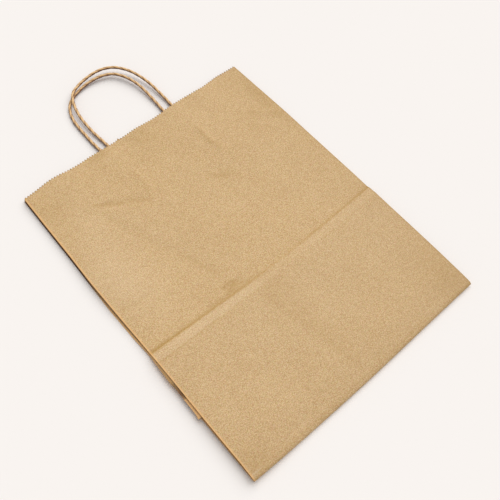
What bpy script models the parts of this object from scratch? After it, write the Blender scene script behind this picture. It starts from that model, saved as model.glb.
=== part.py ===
"""A kraft paper carrier bag that lies folded flat, with two twisted paper cord handles.

The bag lies on its front panel, back panel up. X runs across it, Y from the bottom fold to the
mouth, Z up. The block bottom is folded under the lower half, so the paper lies in layers there:
flaps, base, two tucked corners, the turned-up front panel, the front panel, two gusset halves and
the back panel. Everything is first modelled as a stack of flat sheets joined at their folds, and
then settled: squeezed where the paper is pressed, sprung open at the mouth, rounded at the bottom.
"""

import math

import bmesh
import bpy
from mathutils import Vector

# Driving dimensions, in metres
PANEL_WIDTH = 0.254
GUSSET_DEPTH = 0.127
BAG_HEIGHT = 0.325
PAPER = 0.00015
LAYER_GAP = 0.0003
NEST_GAP = 0.0009
CORNER_SETBACK = 0.0006
FLAP_OVERLAP = 0.024
TOOTH_PITCH = 0.00275
TOOTH_DEPTH = 0.0011

# How the folded paper lies
BASE_GAPE = 0.0012
WAIST_GAPE = 0.0008
MOUTH_GAP = 0.0037
MOUTH_REACH = 0.062
WAIST_REACH = 0.055
PRESS_SHARE = 0.75
PRESS_RUN = 0.008
FALL_RUN = 0.003
FRONT_SKEW = 0.0026
SKEW_END = 0.245
SKEW_START_RUN = 0.012
BOTTOM_ROUND = 0.004
BOTTOM_BULGE = 0.0014
BOTTOM_PINCH = 0.25
ROW_PITCH = 0.016

# Handles and the patches that hold them
CORD_DIAMETER = 0.0033
CORD_POINT_PITCH = 0.0085
PATCH_SHARE = 0.85
PATCH_HEIGHT = 0.045
PATCH_PAPER = 0.0003
PATCH_DROP = 0.008
GLUE_GAP = 0.0001
TOUCH_GAP = 0.0003
RIB_WIDTH = 0.0048
RIB_HEIGHT = 0.0023
RIB_LENGTH = 0.036
RIB_SIDES = 16

# Routes of the two cords: x from the panel's middle, y from the mouth, z from the table
CORD_START = TOUCH_GAP - PATCH_DROP
BACK_CORD_ROUTE = [
    (0.0460, CORD_START, 0.0020), (0.0462, -0.0020, 0.0020), (0.0464, 0.0042, 0.0021),
    (0.0466, 0.0125, 0.0024), (0.0463, 0.0238, 0.0031), (0.0457, 0.0353, 0.0040),
    (0.0433, 0.0490, 0.0050), (0.0384, 0.0627, 0.0060), (0.0302, 0.0745, 0.0065),
    (0.0204, 0.0809, 0.0064), (0.0092, 0.0832, 0.0061), (-0.0031, 0.0823, 0.0058),
    (-0.0145, 0.0793, 0.0056), (-0.0232, 0.0744, 0.0056), (-0.0288, 0.0655, 0.0054),
    (-0.0320, 0.0553, 0.0047), (-0.0338, 0.0444, 0.0040), (-0.0342, 0.0332, 0.0033),
    (-0.0339, 0.0220, 0.0026), (-0.0329, 0.0119, 0.0022), (-0.0322, 0.0034, 0.0020),
    (-0.0320, -0.0020, 0.0020), (-0.0319, CORD_START, 0.0020),
]
FRONT_CORD_ROUTE = [
    (0.0354, CORD_START, 0.0020), (0.0355, -0.0020, 0.0020), (0.0358, 0.0041, 0.0020),
    (0.0363, 0.0125, 0.0019), (0.0364, 0.0240, 0.0018), (0.0362, 0.0360, 0.0018),
    (0.0347, 0.0476, 0.0018), (0.0308, 0.0600, 0.0018), (0.0238, 0.0705, 0.0018),
    (0.0140, 0.0760, 0.0018), (0.0040, 0.0780, 0.0018), (-0.0060, 0.0780, 0.0018),
    (-0.0155, 0.0763, 0.0018), (-0.0248, 0.0732, 0.0018), (-0.0328, 0.0668, 0.0018),
    (-0.0378, 0.0580, 0.0018), (-0.0405, 0.0480, 0.0018), (-0.0414, 0.0380, 0.0018),
    (-0.0415, 0.0270, 0.0018), (-0.0416, 0.0170, 0.0019), (-0.0413, 0.0090, 0.0020),
    (-0.0410, 0.0030, 0.0020), (-0.0409, -0.0020, 0.0020), (-0.0408, CORD_START, 0.0020),
]

# What follows from the driving dimensions
HALF_WIDTH = PANEL_WIDTH / 2
FOLD_DEPTH = GUSSET_DEPTH / 2
PATCH_WIDTH = PATCH_SHARE * (PANEL_WIDTH - GUSSET_DEPTH)
INNER_FOLD_X = HALF_WIDTH - FOLD_DEPTH
WRAP_Y = FOLD_DEPTH - NEST_GAP
LAYER_PITCH = PAPER + LAYER_GAP
BASE_STACK = 3 * PAPER
FIRST_LAYER = BASE_STACK + LAYER_GAP
(CORNER_LOW, CORNER_HIGH, TURN_UP, FRONT, GUSSET_FRONT, GUSSET_BACK, BACK) = range(7)
TINY = 1e-6
MERGE = 3e-6


def underside(layer):
    """Height of a layer's underside in the flat stack."""
    return FIRST_LAYER + layer * LAYER_PITCH


def top_side(layer):
    """Height of a layer's top side in the flat stack."""
    return underside(layer) + PAPER


MOUTH_GAPE = MOUTH_GAP - (underside(BACK) - top_side(FRONT))


def clear_scene():
    """Remove every object that is already there."""
    for thing in list(bpy.data.objects):
        bpy.data.objects.remove(thing, do_unlink=True)


def new_collection(name):
    """Return a new collection linked to the scene."""
    collection = bpy.data.collections.new(name)
    bpy.context.scene.collection.children.link(collection)
    return collection


def paper_material(name, colour, roughness):
    """Return a plain Principled material."""
    material = bpy.data.materials.new(name)
    material.use_nodes = True
    shader = material.node_tree.nodes["Principled BSDF"]
    shader.inputs["Base Color"].default_value = (*colour, 1.0)
    shader.inputs["Roughness"].default_value = roughness
    shader.inputs["Metallic"].default_value = 0.0
    return material


def object_from(bm, name, collection, material=None):
    """Turn a bmesh into a named object in a collection."""
    mesh = bpy.data.meshes.new(name)
    bm.to_mesh(mesh)
    bm.free()
    thing = bpy.data.objects.new(name, mesh)
    collection.objects.link(thing)
    if material is not None:
        mesh.materials.append(material)
    return thing


def hide_cutter(thing):
    """Show a cutter as a wire and keep it out of renders."""
    thing.display_type = "WIRE"
    thing.hide_render = True


def prism(name, outline, low, high, collection):
    """Stand a flat outline up between two heights, at exact coordinates."""
    bm = bmesh.new()
    bottom = bm.faces.new([bm.verts.new((x, y, low)) for x, y in outline])
    raised = bmesh.ops.extrude_face_region(bm, geom=[bottom])["geom"]
    for vert in (part for part in raised if isinstance(part, bmesh.types.BMVert)):
        vert.co.z = high
    bmesh.ops.recalc_face_normals(bm, faces=bm.faces)
    return object_from(bm, name, collection)


def rectangle(x_low, x_high, y_low, y_high):
    """Corners of a rectangle, in order."""
    return [(x_low, y_low), (x_high, y_low), (x_high, y_high), (x_low, y_high)]


def mirrored(outline):
    """The same outline on the bag's other side."""
    return [(-x, y) for x, y in reversed(outline)]


def side_sheets():
    """Outlines and heights of the sheets and folds that both sides of the bag have."""
    corner = (HALF_WIDTH, CORNER_SETBACK)
    far_corner = (HALF_WIDTH, GUSSET_DEPTH - CORNER_SETBACK)
    knot = (INNER_FOLD_X, WRAP_Y)
    slant = PAPER * math.sqrt(2)
    wall = HALF_WIDTH - PAPER
    knot_half = 2 * PAPER
    sheets = [
        ("corner_low", [corner, far_corner, knot], underside(CORNER_LOW), top_side(CORNER_LOW)),
        ("corner_high", [(HALF_WIDTH, WRAP_Y), far_corner, knot],
         underside(CORNER_HIGH), top_side(CORNER_HIGH)),
        ("gusset_front", rectangle(INNER_FOLD_X, HALF_WIDTH, WRAP_Y, BAG_HEIGHT),
         underside(GUSSET_FRONT), top_side(GUSSET_FRONT)),
        ("gusset_back",
         [corner, (HALF_WIDTH, BAG_HEIGHT), (INNER_FOLD_X, BAG_HEIGHT), knot],
         underside(GUSSET_BACK), top_side(GUSSET_BACK)),
    ]
    folds = [
        ("fold_back_gusset", rectangle(wall, HALF_WIDTH, 0.0, BAG_HEIGHT),
         underside(GUSSET_BACK), top_side(BACK)),
        ("fold_front_gusset", rectangle(wall, HALF_WIDTH, WRAP_Y, BAG_HEIGHT),
         underside(FRONT), top_side(GUSSET_FRONT)),
        ("fold_turn_up_corner", rectangle(wall, HALF_WIDTH, WRAP_Y, GUSSET_DEPTH),
         underside(CORNER_HIGH), top_side(TURN_UP)),
        ("fold_base_corner", rectangle(wall, HALF_WIDTH, 0.0, GUSSET_DEPTH),
         2 * PAPER, top_side(CORNER_LOW)),
        ("fold_gusset_middle", rectangle(INNER_FOLD_X, INNER_FOLD_X + PAPER, WRAP_Y, BAG_HEIGHT),
         underside(GUSSET_FRONT), top_side(GUSSET_BACK)),
        ("fold_gusset_wrap", rectangle(INNER_FOLD_X, HALF_WIDTH, WRAP_Y, WRAP_Y + PAPER),
         underside(CORNER_HIGH), top_side(GUSSET_FRONT)),
        ("fold_wrap_end", rectangle(wall, HALF_WIDTH, WRAP_Y, FOLD_DEPTH + PAPER),
         underside(CORNER_HIGH), top_side(GUSSET_FRONT)),
        ("fold_slant_near", [corner, (corner[0], corner[1] + slant), (knot[0], knot[1] + slant), knot],
         underside(CORNER_LOW), top_side(GUSSET_BACK)),
        ("fold_slant_far", [far_corner, knot, (knot[0], knot[1] - slant),
                            (far_corner[0], far_corner[1] - slant)],
         underside(CORNER_LOW), top_side(CORNER_HIGH)),
        ("fold_knot", rectangle(knot[0], knot[0] + 2 * knot_half, knot[1] - knot_half,
                                knot[1] + knot_half),
         underside(CORNER_LOW), top_side(GUSSET_BACK)),
    ]
    return sheets + folds


def middle_sheets():
    """Outlines and heights of the panels, the base with its flaps, and the folds across the bag."""
    flap_reach = (GUSSET_DEPTH + FLAP_OVERLAP) / 2
    near_flap = [(-HALF_WIDTH, 0.0), (HALF_WIDTH, 0.0), (HALF_WIDTH - flap_reach, flap_reach),
                 (flap_reach - HALF_WIDTH, flap_reach)]
    far_start = GUSSET_DEPTH - flap_reach
    far_flap = [(-HALF_WIDTH, GUSSET_DEPTH), (flap_reach - HALF_WIDTH, far_start),
                (HALF_WIDTH - flap_reach, far_start), (HALF_WIDTH, GUSSET_DEPTH)]
    full = (-HALF_WIDTH, HALF_WIDTH)
    return [
        ("back_panel", rectangle(*full, 0.0, BAG_HEIGHT), underside(BACK), top_side(BACK)),
        ("front_panel", rectangle(*full, FOLD_DEPTH, BAG_HEIGHT), underside(FRONT), top_side(FRONT)),
        ("turn_up", rectangle(*full, FOLD_DEPTH, GUSSET_DEPTH), underside(TURN_UP), top_side(TURN_UP)),
        ("base", rectangle(*full, 0.0, GUSSET_DEPTH), 2 * PAPER, BASE_STACK),
        ("far_flap", far_flap, PAPER, 2 * PAPER),
        ("near_flap", near_flap, 0.0, 2 * PAPER),
        ("fold_bottom", rectangle(*full, 0.0, PAPER), 2 * PAPER, top_side(BACK)),
        ("fold_front_panel", rectangle(*full, FOLD_DEPTH, FOLD_DEPTH + PAPER),
         underside(TURN_UP), top_side(FRONT)),
        ("fold_far_base", rectangle(*full, GUSSET_DEPTH - PAPER, GUSSET_DEPTH),
         2 * PAPER, top_side(TURN_UP)),
    ]


def evaluated_bmesh(thing):
    """Return a bmesh of an object as its modifiers leave it."""
    depsgraph = bpy.context.evaluated_depsgraph_get()
    bm = bmesh.new()
    bm.from_object(thing, depsgraph)
    return bm


def tooth_cutter(collection):
    """A zigzag knife that stands across the mouth and cuts through every layer at once."""
    count = round(PANEL_WIDTH / TOOTH_PITCH)
    pitch = PANEL_WIDTH / count
    root = BAG_HEIGHT - TOOTH_DEPTH
    beyond = BAG_HEIGHT + TOOTH_DEPTH
    outline = [(-HALF_WIDTH - pitch / 2, beyond), (-HALF_WIDTH - pitch / 2, BAG_HEIGHT)]
    for step in range(count):
        left = -HALF_WIDTH + step * pitch
        outline.append((left, root))
        outline.append((left + pitch / 2, BAG_HEIGHT))
    outline += [(HALF_WIDTH, root), (HALF_WIDTH + pitch / 2, BAG_HEIGHT),
                (HALF_WIDTH + pitch / 2, beyond)]
    knife = prism("mouth_zigzag", list(reversed(outline)), -PAPER, top_side(BACK) + PAPER, collection)
    hide_cutter(knife)
    return knife


def folded_stack(cutters):
    """Join all sheets and folds of the flat stack into one solid and cut the mouth's zigzag."""
    sheets = bpy.data.collections.new("flat_sheets")
    bpy.context.scene.collection.children.link(sheets)
    joined = None
    for name, outline, low, high in middle_sheets():
        thing = prism(name, outline, low, high, cutters if joined is None else sheets)
        joined = joined or thing
    for name, outline, low, high in side_sheets():
        prism(name + "_right", outline, low, high, sheets)
        prism(name + "_left", mirrored(outline), low, high, sheets)
    union = joined.modifiers.new("join sheets", "BOOLEAN")
    union.operation = "UNION"
    union.operand_type = "COLLECTION"
    union.collection = sheets
    knife = joined.modifiers.new("cut zigzag", "BOOLEAN")
    knife.operation = "DIFFERENCE"
    knife.object = tooth_cutter(cutters)
    bm = evaluated_bmesh(joined)
    for thing in [*sheets.objects, joined]:
        bpy.data.objects.remove(thing, do_unlink=True)
    bpy.data.collections.remove(sheets)
    bmesh.ops.remove_doubles(bm, verts=bm.verts, dist=TINY)
    bmesh.ops.dissolve_limit(bm, angle_limit=math.radians(0.2), verts=bm.verts, edges=bm.edges)
    return bm


def cut_across(bm, y):
    """Cut every face at a distance from the bottom fold, so that the sheet can bend there."""
    bmesh.ops.bisect_plane(bm, geom=[*bm.verts, *bm.edges, *bm.faces], dist=TINY,
                           plane_co=(0.0, y, 0.0), plane_no=(0.0, 1.0, 0.0))


def cut_level(bm, z, y_low, y_high):
    """Cut the upright folds between two distances from the bottom fold at one height."""
    faces = [face for face in bm.faces
             if y_low - TINY <= min(vert.co.y for vert in face.verts)
             and max(vert.co.y for vert in face.verts) <= y_high + TINY]
    edges = {edge for face in faces for edge in face.edges}
    verts = {vert for face in faces for vert in face.verts}
    bmesh.ops.bisect_plane(bm, geom=[*verts, *edges, *faces], dist=TINY,
                           plane_co=(0.0, 0.0, z), plane_no=(0.0, 0.0, 1.0))


def row_places():
    """Distances from the bottom fold at which the sheets may bend."""
    places = [BOTTOM_ROUND * share for share in (0.25, 0.5, 1.0)]
    places += [WRAP_Y - SKEW_START_RUN * share for share in (1.0, 0.75, 0.5, 0.25)]
    places += [WRAP_Y]
    press_start = GUSSET_DEPTH - PRESS_RUN
    places += [press_start + PRESS_RUN * share for share in (0.0, 0.25, 0.5, 0.75)]
    places += [GUSSET_DEPTH + FALL_RUN * share for share in (0.0, 0.25, 0.5, 0.75, 1.0)]
    upper_start = GUSSET_DEPTH + FALL_RUN
    upper = BAG_HEIGHT - TOOTH_DEPTH - upper_start
    rows = max(1, round(upper / ROW_PITCH))
    places += [upper_start + upper * row / rows for row in range(1, rows + 1)]
    return places


def level_places(lowest, highest):
    """Heights in the flat stack at which a fold between two layers may bend."""
    heights = []
    for layer in range(lowest, highest):
        heights += [top_side(layer), top_side(layer) + LAYER_GAP / 2, underside(layer + 1)]
    return heights


def smooth_share(value):
    """Rise from 0 to 1 with level ends as value goes from 0 to 1."""
    held = min(1.0, max(0.0, value))
    return held * held * (3 - 2 * held)


def air_below(height):
    """Thickness of the air gaps under a height in the flat stack."""
    air = 0.0
    for layer in range(BACK + 1):
        gap_low = underside(layer) - LAYER_GAP
        air += min(LAYER_GAP, max(0.0, height - gap_low))
    return air


def gusset_gape(y):
    """How far the gusset's two halves stand apart, from the bottom fold to the mouth."""
    waist = BASE_GAPE + (WAIST_GAPE - BASE_GAPE) * smooth_share((y - GUSSET_DEPTH) / WAIST_REACH)
    rise = smooth_share((y - (BAG_HEIGHT - 2 * MOUTH_REACH)) / MOUTH_REACH)
    return waist + (MOUTH_GAPE - WAIST_GAPE) * rise


def fall_of_upper_layers(y):
    """How far the layers above the turned-up panel have come down at a distance from the bottom."""
    press_start = GUSSET_DEPTH - PRESS_RUN
    press = PRESS_SHARE * smooth_share((y - press_start) / PRESS_RUN)
    squeezed = press * air_below(underside(FRONT))
    return squeezed + (underside(FRONT) - squeezed) * smooth_share((y - GUSSET_DEPTH) / FALL_RUN)


def front_skew(y, z):
    """Sideways shift of the front half, which was folded slightly askew."""
    along = min(1.0, max(0.0, (SKEW_END - y) / (SKEW_END - WRAP_Y)))
    start = smooth_share((y - (WRAP_Y - SKEW_START_RUN)) / SKEW_START_RUN)
    enter = smooth_share((z - top_side(TURN_UP)) / LAYER_GAP)
    leave = smooth_share((underside(GUSSET_BACK) - z) / LAYER_GAP)
    return -FRONT_SKEW * along * start * min(enter, leave)


def settled(place):
    """Where a point of the flat stack comes to rest."""
    x, y, z = place
    press_start = GUSSET_DEPTH - PRESS_RUN
    press = PRESS_SHARE * smooth_share((y - press_start) / PRESS_RUN)
    height = z - press * air_below(z)
    if z > underside(FRONT) - TINY:
        height = z - fall_of_upper_layers(y)
    height += gusset_gape(y) * smooth_share((z - top_side(GUSSET_FRONT)) / LAYER_GAP)
    x += front_skew(y, z)
    near = max(0.0, 1 - y / BOTTOM_ROUND)
    stack = top_side(BACK) + BASE_GAPE
    middle = stack / 2
    off_middle = (height - middle) / middle
    y -= BOTTOM_BULGE * near * max(0.0, 1 - off_middle ** 2)
    height = middle + (height - middle) * (1 - BOTTOM_PINCH * near ** 2)
    return Vector((x, y, height))


def build_bag_body(collection, cutters, material):
    """Fold the sheet, cut it into rows that can bend, and let it settle."""
    bm = folded_stack(cutters)
    for y in row_places():
        cut_across(bm, y)
    for z in level_places(CORNER_LOW, BACK):
        cut_level(bm, z, 0.0, BOTTOM_ROUND)
    for z in level_places(TURN_UP, GUSSET_BACK):
        cut_level(bm, z, WRAP_Y - SKEW_START_RUN, BAG_HEIGHT)
    for vert in bm.verts:
        vert.co = settled(vert.co)
    bmesh.ops.remove_doubles(bm, verts=bm.verts, dist=MERGE)
    bmesh.ops.dissolve_degenerate(bm, dist=MERGE, edges=bm.edges)
    bmesh.ops.triangulate(bm, faces=bm.faces)
    bmesh.ops.recalc_face_normals(bm, faces=bm.faces)
    return object_from(bm, "bag_body", collection, material)


def smooth_route(points, pitch):
    """Read evenly spaced points from a smooth curve through the route's points."""
    places = [Vector(point) for point in points]
    places = [2 * places[0] - places[1], *places, 2 * places[-1] - places[-2]]
    fine = []
    steps = 12
    for index in range(1, len(places) - 2):
        before, start, end, after = places[index - 1:index + 3]
        for step in range(steps):
            t = step / steps
            fine.append(0.5 * (2 * start + (end - before) * t
                               + (2 * before - 5 * start + 4 * end - after) * t ** 2
                               + (3 * start - before - 3 * end + after) * t ** 3))
    fine.append(places[-2])
    lengths = [0.0]
    for first, second in zip(fine, fine[1:]):
        lengths.append(lengths[-1] + (second - first).length)
    count = max(2, round(lengths[-1] / pitch))
    route = []
    index = 0
    for number in range(count + 1):
        wanted = lengths[-1] * number / count
        while index < len(lengths) - 2 and lengths[index + 1] < wanted:
            index += 1
        span = lengths[index + 1] - lengths[index]
        route.append(fine[index].lerp(fine[index + 1], (wanted - lengths[index]) / span))
    return route


def build_cord(name, route, collection, material):
    """A cord as a tube along its route, from one rib of its patch to the other."""
    curve = bpy.data.curves.new(name, "CURVE")
    curve.dimensions = "3D"
    curve.bevel_depth = CORD_DIAMETER / 2
    curve.bevel_resolution = 2
    curve.use_fill_caps = True
    spline = curve.splines.new("POLY")
    points = smooth_route([(x, BAG_HEIGHT + y, z) for x, y, z in route], CORD_POINT_PITCH)
    spline.points.add(len(points) - 1)
    for target, point in zip(spline.points, points):
        target.co = (*point, 1.0)
    thing = bpy.data.objects.new(name, curve)
    curve.materials.append(material)
    collection.objects.link(thing)
    return thing


def build_patch(name, feet, hangs, collection, cutters, material):
    """A glued patch with two ribs, where the cord's pressed ends lie between its strips."""
    centre = sum(feet) / 2
    top = BAG_HEIGHT - PATCH_DROP
    panel = top_side(FRONT) - underside(FRONT)
    if hangs:
        glued = panel + MOUTH_GAP - GLUE_GAP
        free = glued - PATCH_PAPER
        rib_low, rib_high = free - RIB_HEIGHT, glued
    else:
        glued = panel + GLUE_GAP
        free = glued + PATCH_PAPER
        rib_low, rib_high = glued, free + RIB_HEIGHT
    outline = rectangle(centre - PATCH_WIDTH / 2, centre + PATCH_WIDTH / 2, top - PATCH_HEIGHT, top)
    patch = prism(name, outline, min(glued, free), max(glued, free), collection)
    patch.data.materials.append(material)
    for side, foot in zip(("right", "left"), feet):
        rib = build_rib(f"{name}_rib_{side}", foot, top, rib_low, rib_high, hangs, cutters)
        join = patch.modifiers.new(f"rib {side}", "BOOLEAN")
        join.operation = "UNION"
        join.object = rib
    return patch


def build_rib(name, foot, top, low, high, hangs, collection):
    """Half of a flattened round bar along Y, cut level on the side where it is glued."""
    bm = bmesh.new()
    bmesh.ops.create_cone(bm, cap_ends=True, segments=RIB_SIDES, radius1=1.0, radius2=1.0, depth=1.0)
    glued, crown = (high, low) if hangs else (low, high)
    for vert in bm.verts:
        across, upward, along = vert.co.x, vert.co.y, vert.co.z
        vert.co = Vector((foot + across * RIB_WIDTH / 2,
                          top - RIB_LENGTH * (0.5 - along),
                          glued + abs(crown - glued) * upward))
    inner = glued + (PAPER if not hangs else -PAPER)
    bmesh.ops.bisect_plane(bm, geom=[*bm.verts, *bm.edges, *bm.faces], dist=TINY,
                           plane_co=(0.0, 0.0, inner), plane_no=(0.0, 0.0, 1.0 if hangs else -1.0),
                           clear_outer=True)
    bmesh.ops.holes_fill(bm, edges=[edge for edge in bm.edges if edge.is_boundary])
    bmesh.ops.recalc_face_normals(bm, faces=bm.faces)
    rib = object_from(bm, name, collection)
    hide_cutter(rib)
    return rib


def centre_on_origin(collection, others):
    """Move everything so that the folded bag's box stands with its bottom centre at the origin."""
    low_x = min(vert.co.x for vert in collection.objects["bag_body"].data.vertices)
    high_x = max(vert.co.x for vert in collection.objects["bag_body"].data.vertices)
    low_y = min(vert.co.y for vert in collection.objects["bag_body"].data.vertices)
    high_y = max(vert.co.y for vert in collection.objects["bag_body"].data.vertices)
    shift = Vector((-(low_x + high_x) / 2, -(low_y + high_y) / 2, 0.0))
    for thing in [*collection.objects, *others.objects]:
        thing.location += shift


def main():
    """Build the bag."""
    clear_scene()
    collection = new_collection("paper_carrier_bag")
    cutters = new_collection("cutters")
    kraft = paper_material("kraft_paper", (0.61, 0.42, 0.22), 0.85)
    strip = paper_material("kraft_strip", (0.56, 0.38, 0.20), 0.85)
    twist = paper_material("twisted_paper_cord", (0.60, 0.36, 0.15), 0.75)
    build_bag_body(collection, cutters, kraft)
    back_feet = (BACK_CORD_ROUTE[0][0], BACK_CORD_ROUTE[-1][0])
    front_feet = (FRONT_CORD_ROUTE[0][0], FRONT_CORD_ROUTE[-1][0])
    build_patch("handle_patch_back", back_feet, True, collection, cutters, strip)
    build_patch("handle_patch_front", front_feet, False, collection, cutters, strip)
    build_cord("handle_cord_back", BACK_CORD_ROUTE, collection, twist)
    build_cord("handle_cord_front", FRONT_CORD_ROUTE, collection, twist)
    centre_on_origin(collection, cutters)


main()
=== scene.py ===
"""The looks of a brown kraft paper carrier bag that lies folded flat on a pale floor.

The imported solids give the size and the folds. The body is cut into small cells and gets the relief
of real paper: a pressed crease, a sprung left side, a wavy mouth. The handles are twisted cords.
"""

import logging
import math
from dataclasses import dataclass
from enum import Enum
from typing import Any, Sequence

import bmesh
import bpy
import numpy as np
from mathutils import Matrix, Vector


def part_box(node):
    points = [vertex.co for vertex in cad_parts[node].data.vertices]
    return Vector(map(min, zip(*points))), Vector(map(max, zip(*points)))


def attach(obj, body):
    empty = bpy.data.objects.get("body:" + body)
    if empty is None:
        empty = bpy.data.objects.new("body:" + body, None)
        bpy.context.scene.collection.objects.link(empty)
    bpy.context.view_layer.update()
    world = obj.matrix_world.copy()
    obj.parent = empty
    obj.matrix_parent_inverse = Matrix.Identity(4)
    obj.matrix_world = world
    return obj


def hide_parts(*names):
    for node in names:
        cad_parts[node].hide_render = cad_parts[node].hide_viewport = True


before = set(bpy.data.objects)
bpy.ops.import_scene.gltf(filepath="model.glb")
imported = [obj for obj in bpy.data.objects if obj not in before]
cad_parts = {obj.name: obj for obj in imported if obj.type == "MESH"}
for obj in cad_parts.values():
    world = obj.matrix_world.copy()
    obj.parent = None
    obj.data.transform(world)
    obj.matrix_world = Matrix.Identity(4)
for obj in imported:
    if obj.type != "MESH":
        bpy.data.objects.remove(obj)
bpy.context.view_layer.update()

Array = np.ndarray
Tree = bpy.types.NodeTree
Socket = bpy.types.NodeSocket
Material = bpy.types.Material
Mesh = bmesh.types.BMesh
Thing = bpy.types.Object

LOG = logging.getLogger("carrier_bag")
MILLIMETRE = 0.001
ROOT = "root"
CELLULOSE_IOR = 1.47
PALE = "#F8F3EF"
SHEET_SHARP_DEG = 40
CORD_SHARP_DEG = 75
FLOOR_SHARP_DEG = 30


class Side(Enum):
    """Which panel of the bag a handle belongs to."""

    BACK = "back"
    FRONT = "front"


def linear(hex_colour: str) -> tuple[float, float, float, float]:
    """Turn an sRGB hex colour into linear light.

    Args:
        hex_colour: Six hex digits after a hash mark.

    Returns:
        Red, green, blue and an alpha of 1.
    """
    shares = [int(hex_colour[place:place + 2], 16) / 255 for place in (1, 3, 5)]
    light = [c / 12.92 if c <= 0.04045 else ((c + 0.055) / 1.055) ** 2.4 for c in shares]
    return (light[0], light[1], light[2], 1.0)


def scale_for(size_mm: float) -> float:
    """Return the noise scale whose features are about this many millimetres across."""
    return 1.0 / (size_mm * MILLIMETRE)


def add_node(tree: Tree, kind: str, settings: dict[str, Any] | None = None,
             **inputs: Any) -> bpy.types.Node:
    """Add a node with its settings, and set or link its inputs.

    Args:
        tree: The material's node tree.
        kind: The node's type name.
        settings: The node's own properties.
        **inputs: Input values or sockets by name, with underscores for spaces, or i0, i1 by place.

    Returns:
        The new node.
    """
    node = tree.nodes.new(kind)
    for name, value in (settings or {}).items():
        setattr(node, name, value)
    for name, value in inputs.items():
        by_place = name[0] == "i" and name[1:].isdigit()
        socket = node.inputs[int(name[1:])] if by_place else node.inputs[name.replace("_", " ")]
        if isinstance(value, Socket):
            tree.links.new(value, socket)
        else:
            socket.default_value = value
    return node


def smooth_step(value: Array | float, low: Array | float,
                high: Array | float) -> Array:
    """Rise smoothly from 0 to 1 as a value goes from low to high."""
    share = np.clip((np.asarray(value, float) - low) / (high - low), 0.0, 1.0)
    return share * share * (3 - 2 * share)


def smooth_fall(value: Array | float, low: float, high: float) -> Array:
    """Fall smoothly from 1 to 0 as a value goes from low to high."""
    return 1 - smooth_step(value, low, high)


def bell(value: Array, centre: float, reach: Array | float) -> Array:
    """Return 1 where a value is at the centre, fading to nothing on both sides over the reach."""
    return np.exp(-((value - centre) / reach) ** 2)


def new_material(name: str) -> tuple[Material, Tree, bpy.types.Node]:
    """Make a material with a Principled shader.

    Args:
        name: The real material's name.

    Returns:
        The material, its node tree and its shader node.
    """
    material = bpy.data.materials.new(name)
    material.use_nodes = True
    return material, material.node_tree, material.node_tree.nodes["Principled BSDF"]


def shown(bm: Mesh, name: str, material: Material,
          sharp_deg: float) -> Thing:
    """Turn a bmesh into a smooth-shaded object at the origin.

    Args:
        bm: The finished mesh, which is freed.
        name: The object's name.
        material: Its only material.
        sharp_deg: Edges bent more than this many degrees stay sharp.

    Returns:
        The new object.
    """
    mesh = bpy.data.meshes.new(name)
    bm.to_mesh(mesh)
    bm.free()
    mesh.materials.append(material)
    mesh.shade_smooth()
    mesh.set_sharp_from_angle(angle=math.radians(sharp_deg))
    thing = bpy.data.objects.new(name, mesh)
    bpy.context.scene.collection.objects.link(thing)
    return thing


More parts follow.
